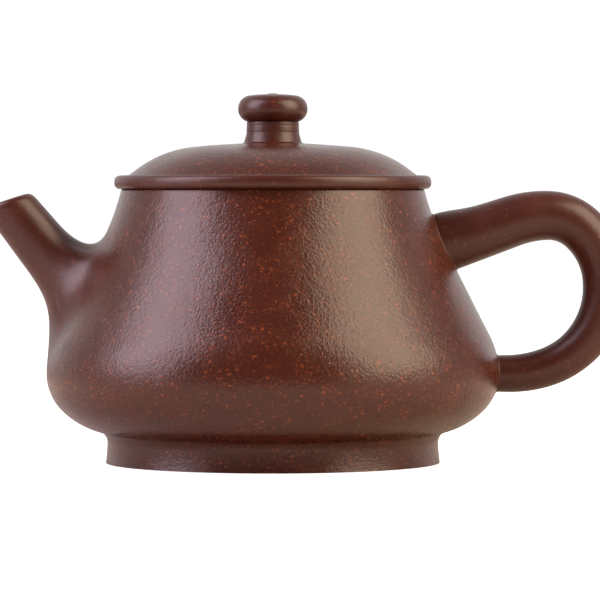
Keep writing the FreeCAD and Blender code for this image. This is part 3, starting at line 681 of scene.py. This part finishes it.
MOUTH_BORE = 28.35
ring_line = outline(
    [
        (RING_SEAT, RING_LEDGE, 0),
        (RING_SEAT, mouth, 0),
        (MOUTH_BORE, mouth, LIP_ROUND),
        (MOUTH_BORE, RING_LEDGE, LIP_ROUND),
        (RING_SEAT, RING_LEDGE, 0),
    ],
    0.8,
)[:-1]
mouth_ring = turned("clay_mouth_ring", ring_line, wiped_clay)
give(mouth_ring, "pot", "plain_clay", "mouth_ring")

base_low, base_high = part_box("base_disc")
base_edge, base_under, base_top = base_high.x / MM, base_low.z / MM, base_high.z / MM
base_line = outline(
    [(0, base_under, 0), (base_edge, base_under, 0), (base_edge, base_top, 0), (0, base_top, 0)], 1.5
)
base_disc = turned("clay_base_disc", base_line, wiped_clay, closed=False)
give(base_disc, "pot", "plain_clay", "base_disc")

WAIST, TOE, HEEL = 36.6, 36.9, 32.6
foot_line = outline(
    [
        (base_edge, joint, 0),
        (base_edge, base_under, 0),
        (HEEL, base_under, 0),
        (HEEL, 0, 0.7),
        (TOE, 0, 0.7),
        (WAIST, 2.3, 35.0),
        (WAIST, joint - 0.47, 2.35),
        WALL_FOOT,
        (base_edge, joint, 0),
    ],
    0.4,
)[:-1]
foot_ring = turned("clay_foot_ring", foot_line, beaten_clay, turns=420, beaten=0.7)
give(foot_ring, "pot", "textured_clay", "foot_ring")

# ------------------------------------------------------------------ The lid
# A domed plate, hollowed to 3 mm, stands in a bull-nosed ring that rests on the mouth. An upright flange
# underneath drops into the bore with a quarter of a millimetre to spare.

rim_low, rim_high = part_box("lid_rim")
rim_edge, rim_under, rim_top = rim_high.x / MM, rim_low.z / MM, rim_high.z / MM
DOME_FOOT = 31.9
DOME_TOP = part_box("lid_plate")[1].z / MM
SEAT = rim_under + 1.6
RIM_BORE = 28.3
FLANGE, FLANGE_BORE = 28.1, 25.1
VENT = 0.6
rim_line = outline(
    [
        (RIM_BORE, rim_under, 0),
        (rim_edge, rim_under, 1.25),
        (rim_edge, rim_top, 1.25),
        (DOME_FOOT, rim_top, 0),
        (DOME_FOOT, SEAT, 0),
        (RIM_BORE, SEAT, 0),
        (RIM_BORE, rim_under, 0),
    ],
    0.35,
)[:-1]
lid_rim = turned("clay_lid_rim", rim_line, burnished_clay, turns=420)
give(lid_rim, "lid", "burnished_clay", "lid_rim")

dome_corners = [
    (DOME_FOOT, rim_top, 0),
    (24.74, DOME_TOP - 1.64, 24.5),
    (8.9, DOME_TOP, 171.4),
    (0, DOME_TOP, 0),
]
dome_line = outline(dome_corners, 0.45)
dome_line = dome_line[dome_line[:, 0] > VENT]
hollow_line = outline(inset(dome_corners, 3.0), 1.5)[::-1]
hollow_line = hollow_line[(hollow_line[:, 0] > VENT) & (hollow_line[:, 0] < FLANGE_BORE)]
plate_line = np.vstack(
    [
        dome_line,
        [(VENT, dome_line[-1][1]), (VENT, hollow_line[0][1])],
        hollow_line,
        [(FLANGE_BORE, SEAT), (DOME_FOOT, SEAT)],
    ]
)
share = np.zeros(len(plate_line))
across = dome_line[:, 0]
share[: len(across)] = ease(across, DOME_FOOT, DOME_FOOT - 2.5) * ease(across, 6.5, 9)
lid_plate = turned("clay_lid_plate", plate_line, beaten_clay, turns=420, beaten=share)
work(
    lid_plate,
    beating,
    wave_size=11 * MM,
    wave_depth=0.12 * MM,
    wrinkle_size=1.7 * MM,
    wrinkle_depth=0.06 * MM,
    clay=beaten_clay,
)
give(lid_plate, "lid", "textured_clay", "lid_plate")

flange_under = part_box("lid_flange")[0].z / MM
flange_line = outline(
    [
        (FLANGE_BORE, SEAT, 0),
        (FLANGE_BORE, flange_under, 0.45),
        (FLANGE, flange_under, 0.45),
        (FLANGE, SEAT, 0),
        (FLANGE_BORE, SEAT, 0),
    ],
    0.8,
)[:-1]
lid_flange = turned("clay_lid_flange", flange_line, wiped_clay)
give(lid_flange, "lid_collar", "plain_clay", "lid_flange")

# ------------------------------------------------------------------ The knob
# A round button on a short neck, turned together and luted to the dome, with the vent pierced down
# through both. The tool left fine rings round the neck.

# The needle that pierced the vent left a low burr round its mouth.
BURR = 0.15
KNOB_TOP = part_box("knob")[1].z / MM - BURR
NECK = 5.75
NECK_TOP = 75.2
NECK_FOOT = 70.4
neck_line = outline(
    [
        (VENT, NECK_FOOT, 0),
        (NECK + 1.35, NECK_FOOT, 0),
        (NECK + 0.6, NECK_FOOT + 0.35, 0.35),
        (NECK + 0.1, NECK_FOOT + 2.2, 4.0),
        (NECK, NECK_TOP, 0),
        (VENT, NECK_TOP, 0),
        (VENT, NECK_FOOT, 0),
    ],
    0.12,
)[:-1]
GROOVE_DEEP, GROOVE_WIDE = 0.06, 0.12
for ring_height in (72.9, 74.4):
    groove = GROOVE_DEEP * np.exp(-(((neck_line[:, 1] - ring_height) / GROOVE_WIDE) ** 2))
    neck_line[:, 0] -= np.where(neck_line[:, 0] > NECK - 0.5, groove, 0)
knob_neck = turned("clay_knob_neck", neck_line, burnished_clay, turns=240)
give(knob_neck, "lid", "burnished_clay", "knob_neck")

KNOB_EDGE = 7.68
knob_line = outline(
    [
        (VENT, NECK_TOP - 0.07, 0),
        (KNOB_EDGE, NECK_TOP - 0.07, 2.97),
        (KNOB_EDGE, KNOB_TOP - 0.6, 2.9),
        (2.5, KNOB_TOP, 38.0),
        (0, KNOB_TOP, 0),
    ],
    0.15,
)
knob_line = knob_line[knob_line[:, 0] > VENT - 0.01]
knob_line = knob_line[(knob_line[:, 0] > 1.15) | (knob_line[:, 1] < NECK_TOP)]
burr_line = ((1.08, 0.02), (1.0, 0.09), (0.86, 0.14), (0.72, 0.11), (0.63, 0.02), (VENT, -0.1))
knob_line = np.vstack([knob_line, [(across, KNOB_TOP + up) for across, up in burr_line]])
knob = turned("clay_knob", knob_line, burnished_clay, turns=240)
give(knob, "lid", "burnished_clay", "knob")

# ------------------------------------------------------------------ Table, light and camera
# A white table and surround, with a large softbox to each side of the camera: a cool one on the left and
# a warmer one on the right. Both table and surround look white, but light the pot as if they were dimmer,
# which keeps its dark side dark.

scene = bpy.context.scene
scene.view_settings.view_transform = "Standard"
TABLE = 3000
table = raw_piece(
    "table",
    [(-TABLE, -TABLE, 0), (TABLE, -TABLE, 0), (TABLE, TABLE, 0), (-TABLE, TABLE, 0)],
    faces=[(0, 1, 2, 3)],
)
paper = bpy.data.materials.new("white_paper")
paper.use_nodes = True
tree = paper.node_tree
tree.nodes.clear()
ray = add_node(tree, "ShaderNodeLightPath").outputs["Is Camera Ray"]
glow = add_node(tree, "ShaderNodeMapRange", {"Value": ray, "To Min": 0.0, "To Max": 0.75})
tone = add_node(
    tree,
    "ShaderNodeMix",
    {"Factor": ray, "A": clay_colour("#e2d6cb"), "B": clay_colour("#f4f4f4")},
    data_type="RGBA",
)
surface = add_node(
    tree,
    "ShaderNodeBsdfPrincipled",
    {
        "Base Color": tone.outputs["Result"],
        "Roughness": 0.9,
        "Emission Color": (1, 1, 1, 1),
        "Emission Strength": glow.outputs[0],
    },
)
add_node(tree, "ShaderNodeOutputMaterial", {"Surface": surface.outputs[0]})
table.data.materials.append(paper)

world = bpy.data.worlds.new("surround")
scene.world = world
world.use_nodes = True
tree = world.node_tree
tree.nodes.clear()
ray = add_node(tree, "ShaderNodeLightPath").outputs["Is Camera Ray"]
way = add_node(tree, "ShaderNodeTexCoord").outputs["Generated"]
depth = add_node(tree, "ShaderNodeSeparateXYZ", {0: way}).outputs["Y"]
behind = add_node(
    tree,
    "ShaderNodeMapRange",
    {"Value": depth, "From Min": -0.1, "From Max": 0.9, "To Min": 0.1, "To Max": 1.0},
)
bright = add_node(
    tree, "ShaderNodeMix", {"Factor": ray, "A": behind.outputs[0], "B": 1.05}, data_type="FLOAT"
)
sky = add_node(tree, "ShaderNodeBackground", {"Color": (1, 1, 1, 1), "Strength": bright.outputs[0]})
add_node(tree, "ShaderNodeOutputWorld", {"Surface": sky.outputs[0]})


# The lights stand this far from the middle of the pot, in metres.
LIGHT_AWAY, POT_MIDDLE = 0.65, 0.036


def softbox(name, azimuth, elevation, wide, tall, colour, watts):
    """A large soft light, at that many degrees round from the camera and up."""
    lamp = bpy.data.lights.new(name, "AREA")
    lamp.shape = "RECTANGLE"
    lamp.size, lamp.size_y = wide, tall
    lamp.color = clay_colour(colour)[:3]
    lamp.energy = watts
    box = bpy.data.objects.new(name, lamp)
    turn, rise = math.radians(azimuth), math.radians(elevation)
    away = Vector((math.sin(turn) * math.cos(rise), -math.cos(turn) * math.cos(rise), math.sin(rise)))
    box.location = Vector((0, 0, POT_MIDDLE)) + away * LIGHT_AWAY
    box.rotation_euler = away.to_track_quat("Z", "Y").to_euler()
    scene.collection.objects.link(box)


softbox("left_softbox", -71, 32, 0.44, 0.68, "#fbe8f5", 5.65)
softbox("right_softbox", 66, 32, 0.52, 0.68, "#ffe8cc", 6.6)

camera = bpy.data.objects.new("camera", bpy.data.cameras.new("camera"))
camera.data.sensor_width = 36.0
camera.data.lens = 234.6
camera.data.clip_start, camera.data.clip_end = 0.01, 20
camera.location = (0.006, -0.864, 0.058)
aim = Vector((0.006, 0, 0.0359)) - camera.location
camera.rotation_euler = aim.to_track_quat("-Z", "Y").to_euler()
scene.collection.objects.link(camera)
scene.camera = camera
